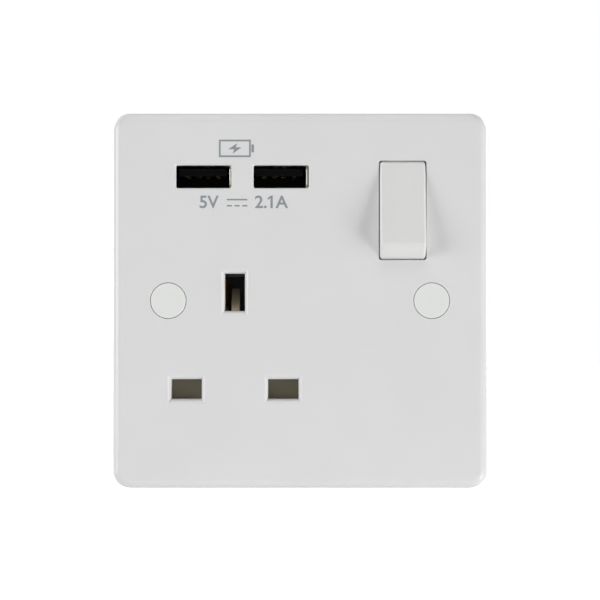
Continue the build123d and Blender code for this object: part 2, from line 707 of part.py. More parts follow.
def rear_base():
    body = slab(base_outline(), BASE_FRONT, BASE_BACK)
    body -= slab(offset(base_outline(), -BASE_WALL, kind=Kind.INTERSECTION), BASE_FRONT, STRAP_BACK)
    bump = offset(earth_pocket(), BASE_WALL, kind=Kind.INTERSECTION)
    body += slab(bump, STRAP_BACK, EARTH_BACK + BASE_WALL)
    module = fillet(module_rect(0).vertices(), BASE_CORNER_R)
    body += bevel_back(slab(module, BASE_FRONT, MODULE_BACK + BASE_WALL), BASE_CORNER_R / 2)
    body += base_ribs()
    for x, z in JOINS:
        body += slab(Pos(x, z) * Rectangle(JOIN_PILLAR, JOIN_PILLAR), BOSS_BACK, BASE_BACK)
    collar_d = CLAMP_HEAD_D + 2 * COLLAR_GAP
    collar = Rectangle(TERMINAL_W + 2 * RIB_WALL, collar_d + 2 * COLLAR_WALL)
    for x in TERMINALS:
        tower = slab(Pos(x, TERMINAL_Z) * collar, STRAP_BACK, CLAMP_SEAT + CLAMP_HEAD_H)
        body += bevel_back(tower, COLLAR_WALL / 2)
    body -= slab(module_rect(BASE_WALL), BASE_FRONT, BOARD_BACK)
    body -= slab(module_rect(BASE_WALL + MODULE_LEDGE), BOARD_BACK, MODULE_BACK)
    body -= slab(earth_pocket(), BASE_FRONT, EARTH_BACK)
    body -= strap_channels()
    for x, z in JOINS:
        body -= rod(x, z, JOIN_D + PASSAGE_MARGIN, BOSS_BACK, BASE_BACK)
    for x in TERMINALS:
        body -= rod(x, TERMINAL_Z, collar_d, STRAP_BACK, CLAMP_SEAT + CLAMP_HEAD_H)
        half = (TERMINAL_W + POCKET_GAP) / 2
        room = frame_rect(x - half, x + half, BASE_LOW, TERMINAL_Z + (TERMINAL_H + POCKET_GAP) / 2)
        body -= slab(room, BASE_FRONT, STRAP_BACK)
    return body


def joining_screw(x, z):
    shank = rod(x, z, JOIN_D, BOSS_BACK - JOIN_GRIP, BASE_BACK)
    return shank + rod(x, z, JOIN_HEAD_D, BASE_BACK, BASE_BACK + JOIN_HEAD_H)


def joining_screws():
    return Compound(children=[joining_screw(x, z) for x, z in JOINS])


def fixing_screw(x):
    shank = rod(x, 0, FIXING_D, BASE_FRONT, HEAD_SEAT + FIXING_LENGTH)
    shank += rod(x, 0, FIXING_NECK_D, HEAD_SEAT, BASE_FRONT)
    return shank + rod(x, 0, FIXING_HEAD_D, HEAD_SEAT - FIXING_HEAD_H, HEAD_SEAT)


def screw_cap(x):
    """Disc with two legs that stand on the head of its fixing screw."""
    disc = rod(x, 0, CAP_D, FRONT, FRONT + CAP_T)
    half = sqrt(FIXING_HEAD_D**2 - CAP_LEG_W**2) / 2
    legs = Rectangle(2 * half, CAP_LEG_W) - Rectangle(2 * (half - CAP_LEG_T), CAP_LEG_W)
    return disc + slab(Pos(x, 0) * legs, FRONT + CAP_T, HEAD_SEAT - FIXING_HEAD_H)


def shutter():
    blades = frame_rect(OUTLET_X - SHUTTER_W / 2, OUTLET_X + SHUTTER_W / 2, SHUTTER_LOW, SHUTTER_TOP)
    rib_low = EARTH_Z - EARTH_SLOT_H / 2
    arm_half = SHUTTER_ARM_W / 2
    arm = frame_rect(OUTLET_X - arm_half, OUTLET_X + arm_half, SHUTTER_LOW, rib_low - PASSAGE_MARGIN)
    pocket_half = SPRING_POCKET_W / 2
    pocket = frame_rect(OUTLET_X - pocket_half, OUTLET_X + pocket_half, SHUTTER_LOW, SPRING_TOP)
    body = slab(blades + arm - pocket, SHUTTER_FRONT, SHUTTER_BACK)
    rib_top = rib_low + SHUTTER_TRAVEL - 2 * SLIDE_GAP
    deep = BASE_FRONT - SLIDE_GAP
    foot = rib_low - 2 * PASSAGE_MARGIN
    points = ((SHUTTER_FRONT, rib_low), (deep, rib_top), (deep, rib_low), (SHUTTER_FRONT, foot))
    ramp = make_face(Polyline(*points, close=True))
    return body + bar(ramp, OUTLET_X, SHUTTER_RIB_W)


def shutter_spring():
    middle = (SHUTTER_FRONT + SHUTTER_BACK) / 2
    spring = coil(SPRING_D - SPRING_WIRE, SPRING_WIRE, SPRING_LENGTH, SPRING_TURNS)
    return Pos(OUTLET_X, middle, SPRING_STOP) * spring


def contact_cover():
    right = OUTLET_X + RAIL_X + RAIL_T
    left = OUTLET_X - RAIL_X - RAIL_T / 2
    outline = frame_rect(left, right, COVER_LOW, COVER_TOP)
    boss = FIXING_BOSS + 2 * COVER_GAP
    outline -= Pos(FIXINGS[0], 0) * Rectangle(boss, boss)
    pillar = JOIN_PILLAR + 2 * COVER_GAP
    outline -= Pos(-JOIN_X, -JOIN_Z) * Rectangle(pillar, pillar)
    margin = 2 * PASSAGE_MARGIN
    for x in (NEUTRAL_X, LIVE_X):
        outline -= Pos(x, LINE_Z) * Rectangle(LINE_SLOT_W + margin, LINE_SLOT_H + margin)
    outline -= Pos(OUTLET_X, EARTH_Z) * Rectangle(EARTH_SLOT_W + margin, EARTH_SLOT_H + margin)
    slot_low = EARTH_Z - EARTH_SLOT_H / 2 - SHUTTER_TRAVEL - 1
    slot_half = SHUTTER_RIB_W / 2 + PASSAGE_MARGIN
    outline -= frame_rect(OUTLET_X - slot_half, OUTLET_X + slot_half, slot_low, EARTH_Z)
    return slab(outline, COVER_FRONT, BASE_FRONT)


def usb_shell(x):
    """Folded tin case of a port, open at the front, with a latch window above and below."""
    outer = Rectangle(USB_OUTER_W, USB_OUTER_H)
    inner = Rectangle(USB_OUTER_W - 2 * USB_SHEET, USB_OUTER_H - 2 * USB_SHEET)
    tube = slab(Pos(x, USB_Z) * (outer - inner), USB_LIP, BOARD_FRONT)
    window = column(Pos(USB_LIP + LATCH_PLACE, x) * Rectangle(LATCH_L, LATCH_W), USB_Z, 2 * USB_OUTER_H)
    return tube - window


def usb_strips(x):
    """Four contact strips let into the underside of the tongue."""
    low = USB_Z + TONGUE_LIFT - TONGUE_T / 2
    section = Rectangle(USB_CONTACT_W, USB_CONTACT_T)
    strips = Part()
    for shift, start in ((USB_POWER_X, USB_POWER_START), (USB_DATA_X, USB_DATA_START)):
        front = USB_LIP + TONGUE_SETBACK + start
        for side in (-shift, shift):
            strips += slab(Pos(x + side, low + USB_CONTACT_T / 2) * section, front, BOARD_FRONT)
    return strips


def usb_insulator(x):
    width = USB_OUTER_W - 2 * USB_SHEET - 2 * USB_FIT
    height = USB_OUTER_H - 2 * USB_SHEET - 2 * USB_FIT
    block = slab(Pos(x, USB_Z) * Rectangle(width, height), BOARD_FRONT - USB_BLOCK_L, BOARD_FRONT)
    tongue = Pos(x, USB_Z + TONGUE_LIFT) * Rectangle(TONGUE_W, TONGUE_T)
    block += slab(tongue, USB_LIP + TONGUE_SETBACK, BOARD_FRONT)
    return block - usb_strips(x)


def usb_board():
    board = module_rect(BASE_WALL + BOARD_GAP)
    feed_x = MODULE_RIGHT - BASE_WALL - FEED_IN
    board -= Pos(NEUTRAL_FEED_X, FEED_Z) * Rectangle(FEED_SLOT, FEED_SLOT)
    board -= Pos(feed_x, SWITCH_Z) * Rectangle(FEED_SLOT, FEED_SLOT)
    return slab(board, BOARD_FRONT, BOARD_BACK)


def can(x, z, diameter, height):
    """Round capacitor standing on the back of the board."""
    return rod(x, z, diameter, BOARD_BACK, BOARD_BACK + height)


def on_board(outline, height):
    """Block standing on the back of the board."""
    return slab(outline, BOARD_BACK, BOARD_BACK + height)


def transformer_core():
    """Closed ferrite frame around the winding."""
    frame = Rectangle(CORE_D, CORE_W) - Rectangle(CORE_D - 2 * CORE_LEG, CORE_W - 2 * CORE_LEG)
    return column(Pos(CORE_Y, CORE_X) * frame, MODULE_Z, CORE_H / 2)


def transformer_winding():
    """Taped winding through the core's window, on a bobbin with a foot at each end."""
    wound = Pos(CORE_Y, CORE_X) * Rectangle(CORE_D - 2 * CORE_LEG, CORE_W - 2 * CORE_LEG)
    foot = Rectangle(CORE_W, CORE_H) - Rectangle(CORE_W, CORE_H / 2 + POCKET_GAP)
    feet = slab(Pos(CORE_X, MODULE_Z) * foot, BOARD_BACK, CORE_Y - CORE_D / 2 + CORE_LEG)
    return column(wound, MODULE_Z, CORE_H) + feet


def input_capacitors():
    z = (CAN_D + CAN_GAP) / 2
    x = MODULE_LEFT + BASE_WALL + MODULE_LEDGE + CAN_GAP + CAN_D / 2
    return Compound(children=[can(x, MODULE_Z + z, CAN_D, CAN_H), can(x, MODULE_Z - z, CAN_D, CAN_H)])


def output_capacitor():
    return can(MODULE_X + OUTPUT_SHIFT_X, MODULE_Z + OUTPUT_SHIFT_Z, CAN_D, CAN_H)


def safety_capacitor():
    outline = Rectangle(SAFETY_W, SAFETY_T)
    return on_board(Pos(MODULE_X + SAFETY_SHIFT_X, MODULE_Z + SAFETY_SHIFT_Z) * outline, SAFETY_H)


def controller_chip():
    outline = Rectangle(CHIP_W, CHIP_L)
    return on_board(Pos(MODULE_X + CHIP_SHIFT_X, MODULE_Z + CHIP_SHIFT_Z) * outline, CHIP_T)


def fuse_resistor():
    return can(MODULE_X + FUSE_SHIFT_X, MODULE_Z + FUSE_SHIFT_Z, FUSE_D, FUSE_H)


def bridge_rectifier():
    outline = Rectangle(BRIDGE_W, BRIDGE_L)
    return on_board(Pos(MODULE_X + BRIDGE_SHIFT_X, MODULE_Z + BRIDGE_SHIFT_Z) * outline, BRIDGE_H)


def main():
    pieces = {
        "front_plate": front_plate(),
        "rear_base": rear_base(),
        "contact_cover": contact_cover(),
        "joining_screws": joining_screws(),
        "rocker": rocker(),
        "rocker_plunger": rocker_plunger(),
        "rocker_spring": rocker_spring(),
        "moving_contact": moving_contact(),
        "moving_tip": moving_tip(),
        "fixed_tip": fixed_tip(),
        "live_contact": live_contact(),
        "supply_contact": supply_contact(),
        "neutral_contact": neutral_contact(),
        "earth_contact": earth_contact(),
        "live_terminal": terminal(SUPPLY_X),
        "neutral_terminal": terminal(NEUTRAL_X),
        "earth_terminal": terminal(OUTLET_X),
        "live_clamp_screw": clamp_screw(SUPPLY_X),
        "neutral_clamp_screw": clamp_screw(NEUTRAL_X),
        "earth_clamp_screw": clamp_screw(OUTLET_X),
        "shutter": shutter(),
        "shutter_spring": shutter_spring(),
        "fixing_screw_left": fixing_screw(FIXINGS[0]),
        "fixing_screw_right": fixing_screw(FIXINGS[1]),
        "screw_cap_left": screw_cap(FIXINGS[0]),
        "screw_cap_right": screw_cap(FIXINGS[1]),
        "usb_shell_left": usb_shell(PORT_LEFT),
        "usb_shell_right": usb_shell(PORT_RIGHT),
        "usb_insulator_left": usb_insulator(PORT_LEFT),
        "usb_insulator_right": usb_insulator(PORT_RIGHT),
        "usb_strips_left": usb_strips(PORT_LEFT),
        "usb_strips_right": usb_strips(PORT_RIGHT),
        "usb_board": usb_board(),
        "transformer_core": transformer_core(),
        "transformer_winding": transformer_winding(),
        "input_capacitors": input_capacitors(),
        "output_capacitor": output_capacitor(),
        "safety_capacitor": safety_capacitor(),
        "controller_chip": controller_chip(),
        "fuse_resistor": fuse_resistor(),
        "bridge_rectifier": bridge_rectifier(),
    }
    os.makedirs("parts", exist_ok=True)
    for name, shape in pieces.items():
        export_step(shape, f"parts/{name}.step")


main()
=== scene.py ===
import json
import math

import bmesh
import bpy
from mathutils import Matrix, Vector


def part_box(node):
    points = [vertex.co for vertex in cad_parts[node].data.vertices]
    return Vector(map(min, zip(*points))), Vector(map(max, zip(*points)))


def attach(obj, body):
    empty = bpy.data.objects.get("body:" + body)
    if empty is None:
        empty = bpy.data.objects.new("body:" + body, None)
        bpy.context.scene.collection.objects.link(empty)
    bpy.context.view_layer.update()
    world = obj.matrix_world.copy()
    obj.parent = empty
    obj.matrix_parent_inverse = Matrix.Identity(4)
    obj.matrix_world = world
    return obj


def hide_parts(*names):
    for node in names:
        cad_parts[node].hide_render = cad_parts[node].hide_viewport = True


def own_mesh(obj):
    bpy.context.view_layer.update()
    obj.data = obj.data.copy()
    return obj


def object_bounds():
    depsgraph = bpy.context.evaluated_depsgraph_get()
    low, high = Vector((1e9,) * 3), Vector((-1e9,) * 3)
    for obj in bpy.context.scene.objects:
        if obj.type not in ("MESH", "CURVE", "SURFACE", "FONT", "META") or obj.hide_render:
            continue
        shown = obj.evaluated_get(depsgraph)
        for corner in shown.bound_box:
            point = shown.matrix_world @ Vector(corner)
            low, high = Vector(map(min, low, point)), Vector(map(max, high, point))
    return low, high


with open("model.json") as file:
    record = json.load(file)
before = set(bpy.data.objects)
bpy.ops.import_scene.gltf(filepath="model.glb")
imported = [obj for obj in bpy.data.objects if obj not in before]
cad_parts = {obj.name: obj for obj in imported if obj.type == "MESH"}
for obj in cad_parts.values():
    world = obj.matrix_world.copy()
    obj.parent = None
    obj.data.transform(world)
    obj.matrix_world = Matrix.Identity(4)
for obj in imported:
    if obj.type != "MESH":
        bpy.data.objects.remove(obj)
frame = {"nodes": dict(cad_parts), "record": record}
cad_low, cad_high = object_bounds()

MM = 0.001

# Places on the front, in millimetres
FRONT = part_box("front_plate")[0].y / MM
RATING_Z = 22.45
PICTOGRAM_X = -14.55
PICTOGRAM_Z = 34.85

# Pin slots: middle, half width and half height
PIN_SPACING = 22.2
EARTH_X = -14.93
NEUTRAL_X = EARTH_X - PIN_SPACING / 2
LINE_Z = -20.3
SLOTS = (
    (NEUTRAL_X, LINE_Z, 3.5, 2.3),
    (NEUTRAL_X + PIN_SPACING, LINE_Z, 3.5, 2.3),
    (EARTH_X, LINE_Z + PIN_SPACING, 2.3, 4.3),
)

# Foot of the shutter's ramp in the earth slot, and how far around it a pool of light is painted
RAMP_FOOT = (EARTH_X, -4.5, -2.6)
LIGHT_POOL_REACH = 7.0

# USB openings: middles, and half width and half height
PORTS = ((-22.075, 28.4), (-4.325, 28.4))
PORT_HALF = (6.3, 2.6)

# The rocker's pivot and tilt at rest, and half the width and height of its opening, whose ends flare
SWITCH_X, SWITCH_Z = 23.5, 20.67
PIVOT = Vector((SWITCH_X, -3.0, SWITCH_Z)) * MM
TILT = math.radians(-10.8)
ROCKER_HALF = (5.46, 11.4)
ROCKER_FLARE = 1.3

# Marks above the terminals on the rear face, where only the live one lies away from its slot
REAR = 11.6
MARK_Z = -22.3
LIVE_X = 20.0


def srgb(red, green, blue):
    """Linear colour of an sRGB one given from 0 to 255."""
    linear = []
    for value in (red, green, blue):
        share = value / 255
        linear.append(share / 12.92 if share <= 0.04045 else ((share + 0.055) / 1.055) ** 2.4)
    return linear


def shade(colour, share):
    """A colour made lighter or darker, with its alpha."""
    return [min(1.0, c * share) for c in colour] + [1.0]


# Materials

# The part of a noise's range that is spread between two colours or two values
NOISE_LOW, NOISE_HIGH = 0.3, 0.7

# Depth of a moulded skin or a fine scratch, in metres
SKIN_DEPTH = 0.00002


def new_material(name):
    """An empty material and its shader."""
    material = bpy.data.materials.new(name)
    material.use_nodes = True
    return material, material.node_tree, material.node_tree.nodes["Principled BSDF"]


def noise(tree, scale, detail=3.0, stretch=(1, 1, 1)):
    """Noise fixed to the object, with its scale per metre."""
    place = tree.nodes.new("ShaderNodeTexCoord")
    mapping = tree.nodes.new("ShaderNodeMapping")
    mapping.inputs["Scale"].default_value = stretch
    texture = tree.nodes.new("ShaderNodeTexNoise")
    texture.inputs["Scale"].default_value = scale
    texture.inputs["Detail"].default_value = detail
    tree.links.new(place.outputs["Object"], mapping.inputs["Vector"])
    tree.links.new(mapping.outputs["Vector"], texture.inputs["Vector"])
    return texture.outputs["Fac"]


def blend(tree, factor, first, second, target, low=NOISE_LOW, high=NOISE_HIGH):
    """Leads a mix of two colours into a socket."""
    spread = tree.nodes.new("ShaderNodeMapRange")
    spread.inputs["From Min"].default_value = low
    spread.inputs["From Max"].default_value = high
    mix = tree.nodes.new("ShaderNodeMix")
    mix.data_type = "RGBA"
    mix.inputs["A"].default_value = first
    mix.inputs["B"].default_value = second
    tree.links.new(factor, spread.inputs["Value"])
    tree.links.new(spread.outputs["Result"], mix.inputs["Factor"])
    tree.links.new(mix.outputs["Result"], target)


def vary(tree, factor, low, high, target):
    """Leads a value that wanders between two limits into a socket."""
    spread = tree.nodes.new("ShaderNodeMapRange")
    spread.inputs["From Min"].default_value = NOISE_LOW
    spread.inputs["From Max"].default_value = NOISE_HIGH
    spread.inputs["To Min"].default_value = low
    spread.inputs["To Max"].default_value = high
    tree.links.new(factor, spread.inputs["Value"])
    tree.links.new(spread.outputs["Result"], target)


def bump(tree, height, strength, depth, shader):
    """Leads a height into the shader's normal."""
    node = tree.nodes.new("ShaderNodeBump")
    node.inputs["Strength"].default_value = strength
    node.inputs["Distance"].default_value = depth
    tree.links.new(height, node.inputs["Height"])
    tree.links.new(node.outputs["Normal"], shader.inputs["Normal"])


def moulded(name, colour, rough=0.34, drift=0.012, grain=0.1, gloss=0.5):
    """Moulded plastic: a faint drift in tone, a fine skin and patches that shine a little differently."""
    material, tree, shader = new_material(name)
    shader.inputs["Specular IOR Level"].default_value = gloss
    base = shader.inputs["Base Color"]
    blend(tree, noise(tree, 70, 4), shade(colour, 1 - drift), shade(colour, 1 + drift), base)
    vary(tree, noise(tree, 240, 3), rough - 0.02, rough + 0.02, shader.inputs["Roughness"])
    bump(tree, noise(tree, 5200, 2), grain, SKIN_DEPTH, shader)
    return material


def paint_light_pool(material, middle, reach, colour):
    """Makes a moulded piece paler around a spot, given in millimetres: a painted pool of light where light
    falls on it.
    """
    tree = material.node_tree
    base = tree.nodes["Principled BSDF"].inputs["Base Color"]
    place = tree.nodes.new("ShaderNodeTexCoord")
    mapping = tree.nodes.new("ShaderNodeMapping")
    mapping.inputs["Location"].default_value = -Vector(middle) / reach
    mapping.inputs["Scale"].default_value = [1 / (reach * MM)] * 3
    fade = tree.nodes.new("ShaderNodeTexGradient")
    fade.gradient_type = "SPHERICAL"
    mix = tree.nodes.new("ShaderNodeMix")
    mix.data_type = "RGBA"
    mix.inputs["B"].default_value = [*colour, 1.0]
    tree.links.new(place.outputs["Object"], mapping.inputs["Vector"])
    tree.links.new(mapping.outputs["Vector"], fade.inputs["Vector"])
    tree.links.new(fade.outputs["Fac"], mix.inputs["Factor"])
    tree.links.new(base.links[0].from_socket, mix.inputs["A"])
    tree.links.new(mix.outputs["Result"], base)


def metal(name, colour, rough, drift, stretch=(1, 1, 1), grain=0.15):
    """Sheet or turned metal: drawn streaks, dull patches and a fine scratch."""
    material, tree, shader = new_material(name)
    shader.inputs["Metallic"].default_value = 1.0
    base = shader.inputs["Base Color"]
    blend(tree, noise(tree, 260, 5, stretch), shade(colour, 1 - drift), shade(colour, 1 + drift), base)
    vary(tree, noise(tree, 420, 3), rough - 0.08, rough + 0.1, shader.inputs["Roughness"])
    bump(tree, noise(tree, 2600, 3, stretch), grain, SKIN_DEPTH, shader)
    return material


def circuit_board(name):
    """Solder resist over a copper pour, whose edges show through as paler lines."""
    material, tree, shader = new_material(name)
    place = tree.nodes.new("ShaderNodeTexCoord")
    cells = tree.nodes.new("ShaderNodeTexVoronoi")
    cells.distance = "CHEBYCHEV"
    cells.feature = "F2"
    cells.inputs["Scale"].default_value = 300
    tree.links.new(place.outputs["Object"], cells.inputs["Vector"])
    base = shader.inputs["Base Color"]
    blend(tree, cells.outputs["Distance"], [0.02, 0.16, 0.06, 1], [0.05, 0.27, 0.10, 1], base, 0.35, 0.6)
    vary(tree, noise(tree, 300), 0.25, 0.4, shader.inputs["Roughness"])
    bump(tree, cells.outputs["Distance"], 0.2, 0.00003, shader)
    return material


def wound_tape(name):
    """Yellow tape over a winding, with the wire's turns as ridges under it."""
    material, tree, shader = new_material(name)
    place = tree.nodes.new("ShaderNodeTexCoord")
    turns = tree.nodes.new("ShaderNodeTexWave")
    turns.bands_direction = "Z"
    turns.inputs["Scale"].default_value = 520
    turns.inputs["Distortion"].default_value = 0.6
    tree.links.new(place.outputs["Object"], turns.inputs["Vector"])
    blend(tree, noise(tree, 180), [0.62, 0.40, 0.05, 1], [0.75, 0.52, 0.08, 1], shader.inputs["Base Color"])
    vary(tree, noise(tree, 400), 0.3, 0.45, shader.inputs["Roughness"])
    bump(tree, turns.outputs["Fac"], 0.3, 0.00005, shader)
    return material


WHITE = srgb(216, 216, 216)
PLATE = moulded("white_urea", WHITE)
ROCKER = moulded("white_rocker", srgb(217, 217, 216), 0.38)
CAP = moulded("white_cap", srgb(221, 223, 220), 0.36)
SHUTTER = moulded("shutter_nylon", srgb(116, 110, 89), 0.5, 0.03, 0.2)
# Painted light: the shutter is paler around the ramp's foot, where light falls into the earth slot.
paint_light_pool(SHUTTER, RAMP_FOOT, LIGHT_POOL_REACH, srgb(206, 190, 158))
HOUSING = moulded("housing_urea", srgb(30, 30, 32), 0.46, 0.12, 0.6)
COVER = moulded("cover_nylon", srgb(120, 118, 112), 0.5, 0.03, 0.2)
BLACK = moulded("port_black", srgb(6, 6, 6), 0.55, 0.08, 0.2, 0.05)
PRINT = moulded("print_grey", srgb(134, 140, 144), 0.5, 0.03, 0.1)
BRASS = metal("brass_sheet", [0.72, 0.48, 0.20], 0.32, 0.14, (1, 1, 0.2))
# Painted shade: the earth contact, deep in its slot, gets a darker copy of the sheet brass.
SHADED_BRASS = metal("shaded_brass", [0.45, 0.29, 0.14], 0.5, 0.2, (1, 1, 0.2))
TURNED_BRASS = metal("turned_brass", [0.76, 0.54, 0.24], 0.28, 0.1, (1, 0.2, 1))
TIN = metal("tinned_steel", [0.60, 0.61, 0.52], 0.3, 0.1, (1, 0.25, 1))
GOLD = metal("gilt_strip", [0.50, 0.36, 0.15], 0.4, 0.06)
ZINC = metal("zinc_plate", [0.62, 0.63, 0.65], 0.3, 0.12, (1, 0.3, 1))
SPRING = metal("spring_wire", [0.45, 0.45, 0.46], 0.28, 0.12)
SILVER = metal("silver_tip", [0.80, 0.79, 0.76], 0.35, 0.08)
BOARD = circuit_board("solder_resist")
TAPE = wound_tape("winding_tape")
FERRITE = moulded("ferrite", [0.035, 0.035, 0.04], 0.55, 0.15, 0.5)
SLEEVE = moulded("capacitor_sleeve", [0.03, 0.04, 0.07], 0.3, 0.1, 0.1)
CERAMIC = moulded("blue_coat", [0.03, 0.16, 0.42], 0.3, 0.08, 0.2)
EPOXY = moulded("chip_epoxy", [0.025, 0.025, 0.027], 0.5, 0.1, 0.4)
RESISTOR = moulded("resistor_coat", [0.10, 0.30, 0.16], 0.45, 0.08, 0.3)

FINISH = {
    "front_plate": PLATE, "rocker": ROCKER, "screw_cap_left": CAP, "screw_cap_right": CAP,
    "shutter": SHUTTER, "rear_base": HOUSING, "contact_cover": COVER, "rocker_plunger": COVER,
    "usb_insulator_left": BLACK, "usb_insulator_right": BLACK, "usb_shell_left": TIN, "usb_shell_right": TIN,
    "usb_strips_left": GOLD, "usb_strips_right": GOLD, "joining_screws": ZINC, "rocker_spring": SPRING,
    "shutter_spring": SPRING, "moving_contact": BRASS, "moving_tip": SILVER, "fixed_tip": SILVER,
    "live_contact": BRASS, "supply_contact": BRASS, "neutral_contact": BRASS, "earth_contact": SHADED_BRASS,
    "live_terminal": TURNED_BRASS, "neutral_terminal": TURNED_BRASS, "earth_terminal": TURNED_BRASS,
    "live_clamp_screw": ZINC, "neutral_clamp_screw": ZINC, "earth_clamp_screw": ZINC,
    "fixing_screw_left": ZINC, "fixing_screw_right": ZINC, "usb_board": BOARD, "transformer_core": FERRITE,
    "transformer_winding": TAPE, "input_capacitors": SLEEVE, "output_capacitor": SLEEVE,
    "safety_capacitor": CERAMIC, "controller_chip": EPOXY, "fuse_resistor": RESISTOR,
    "bridge_rectifier": EPOXY,
}
BODY = {node: body for body, nodes in frame["record"]["behaviour"]["bodies"].items() for node in nodes}


def paint(obj, material):
    """Gives an object one material."""
    obj.data.materials.clear()
    obj.data.materials.append(material)


for node, material in FINISH.items():
    paint(frame["nodes"][node], material)


# Pieces


def merge(bm):
    """Joins points that lie on each other."""
    bmesh.ops.remove_doubles(bm, verts=bm.verts, dist=0.001 * MM)


def finish_piece(name, bm, material, body, smooth=True):
    """Makes an object of a bmesh and lets it ride on a body."""
    bmesh.ops.recalc_face_normals(bm, faces=bm.faces)
    mesh = bpy.data.meshes.new(name)
    bm.to_mesh(mesh)
    bm.free()
    for face in mesh.polygons:
        face.use_smooth = smooth
    obj = bpy.data.objects.new(name, mesh)
    bpy.context.scene.collection.objects.link(obj)
    paint(obj, material)
    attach(obj, body)
    return obj


def even_faces(obj):
    """Shades the flat faces flat, and only the narrow ones between them round."""
    weighted = obj.modifiers.new("even_faces", "WEIGHTED_NORMAL")
    weighted.weight = 100


def stand_for(name, bm, node, smooth=True):
    """Finishes a piece that takes a CAD node's place."""
    obj = finish_piece(name, bm, FINISH[node], BODY[node], smooth)
    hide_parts(node)
    return obj


def cad_copy(node):
    """A merged copy of a CAD node's mesh, with its flat faces whole."""
    bm = bmesh.new()
    bm.from_mesh(frame["nodes"][node].data)
    merge(bm)
    bmesh.ops.dissolve_limit(bm, angle_limit=math.radians(0.5), verts=bm.verts, edges=bm.edges)
    return bm


def round_off(bm, edges, width, steps):
    """Rounds edges off."""
    bmesh.ops.bevel(
        bm, geom=edges, offset=width * MM, offset_type="OFFSET", segments=steps, profile=0.5,
        affect="EDGES", material=-1, clamp_overlap=True,
    )


def sharp_edges(bm, angle=25):
    """Edges at which two faces meet at more than an angle."""
    limit = math.radians(angle)
    return [e for e in bm.edges if len(e.link_faces) == 2 and e.calc_face_angle() > limit]


def rounded(node, width):
    """A CAD node's own form with its sharp edges rounded off, in its place."""
    bm = cad_copy(node)
    round_off(bm, sharp_edges(bm), width, 2)
    even_faces(stand_for("edged_" + node, bm, node))


for node, width in {
    "rocker": 0.2, "screw_cap_left": 0.1, "screw_cap_right": 0.1, "shutter": 0.12, "rear_base": 0.3,
    "contact_cover": 0.15, "rocker_plunger": 0.1, "usb_insulator_left": 0.12, "usb_insulator_right": 0.12,
    "live_contact": 0.12, "supply_contact": 0.12, "neutral_contact": 0.12, "earth_contact": 0.12,
    "moving_contact": 0.12, "moving_tip": 0.2, "fixed_tip": 0.2, "live_terminal": 0.2,
    "neutral_terminal": 0.2, "earth_terminal": 0.2, "transformer_core": 0.25, "transformer_winding": 0.3,
    "input_capacitors": 0.4, "output_capacitor": 0.4, "safety_capacitor": 0.4, "controller_chip": 0.15,
    "fuse_resistor": 0.4, "bridge_rectifier": 0.2,
}.items():
    rounded(node, width)


# Rounding of the plate's slot mouths, openings and other edges
MOUTH_ROUND, ROCKER_ROUND, PORT_ROUND, EDGE_ROUND = 0.2, 0.6, 0.35, 0.12

# How near to a corner its edges lie, and how far a slot's mouth reaches around it and behind the front
CORNER_REACH = 0.35
MOUTH_REACH = 1.0


def opening_corners(bm, x, z, half_width, half_height, reach):
    """Edges that run into the depth at the four corners of an opening."""
    found = []
    for edge in bm.edges:
        ends = [v.co / MM for v in edge.verts]
        off_x = max(abs(abs(end.x - x) - half_width) for end in ends)
        off_z = max(abs(abs(end.z - z) - half_height) for end in ends)
        deep = abs(ends[0].y - ends[1].y) > 0.2 and min(end.y for end in ends) < FRONT + 2.0
        if deep and off_x < CORNER_REACH and off_z < reach:
            found.append(edge)
    return found


def mouth_edges(bm, x, z, half_width, half_height):
    """Edges around a pin slot, where the two slopes of its mouth meet each other, the front and the wall."""
    found = []
    for edge in bm.edges:
        ends = [v.co / MM for v in edge.verts]
        across = max(abs(end.x - x) for end in ends) < half_width + MOUTH_REACH
        along = max(abs(end.z - z) for end in ends) < half_height + MOUTH_REACH
        level = abs(ends[0].y - ends[1].y) < 0.01 and ends[0].y < FRONT + MOUTH_REACH
        if across and along and level:
            found.append(edge)
    return found


def front_plate():
    """The plate, with the slots' mouths and the corners of the rocker's and the USB openings rounded."""
    bm = cad_copy("front_plate")
    for x, z, half_width, half_height in SLOTS:
        round_off(bm, mouth_edges(bm, x, z, half_width, half_height), MOUTH_ROUND, 3)
    round_off(bm, opening_corners(bm, SWITCH_X, SWITCH_Z, *ROCKER_HALF, ROCKER_FLARE), ROCKER_ROUND, 4)
    for x, z in PORTS:
        round_off(bm, opening_corners(bm, x, z, *PORT_HALF, CORNER_REACH), PORT_ROUND, 3)
    round_off(bm, sharp_edges(bm), EDGE_ROUND, 2)
    even_faces(stand_for("edged_front_plate", bm, "front_plate"))


front_plate()


# Carved pieces


def block(bm, middle, size, turn=0.0, axis="Y"):
    """Adds a box, turned about an axis."""
    place = Matrix.Translation(Vector(middle) * MM) @ Matrix.Rotation(turn, 4, axis)
    bmesh.ops.create_cube(bm, size=MM, matrix=place @ Matrix.Diagonal((*size, 1)))


def carve(bm, tool):
    """One closed shape with another cut out of it."""
    shapes = []
    for shape in (bm, tool):
        mesh = bpy.data.meshes.new("carving")
        shape.to_mesh(mesh)
        shape.free()
        shapes.append(bpy.data.objects.new("carving", mesh))
        bpy.context.scene.collection.objects.link(shapes[-1])
    knife = shapes[0].modifiers.new("carving", "BOOLEAN")
    knife.operation = "DIFFERENCE"
    knife.solver = "EXACT"
    knife.object = shapes[1]
    cut = shapes[0].evaluated_get(bpy.context.evaluated_depsgraph_get())
    result = bmesh.new()
    result.from_mesh(bpy.data.meshes.new_from_object(cut))
    for shape in shapes:
        bpy.data.objects.remove(shape)
    return result


# Slits and latch springs of a port's case
SLIT = (2.6, 2.6, 2.1)
LATCH = (2.0, 3.5, 0.25)
LATCH_PLACE, LATCH_INSET = 6.2, 0.28
LATCH_LEAN = 0.07
SHEET_ROUND = 0.06


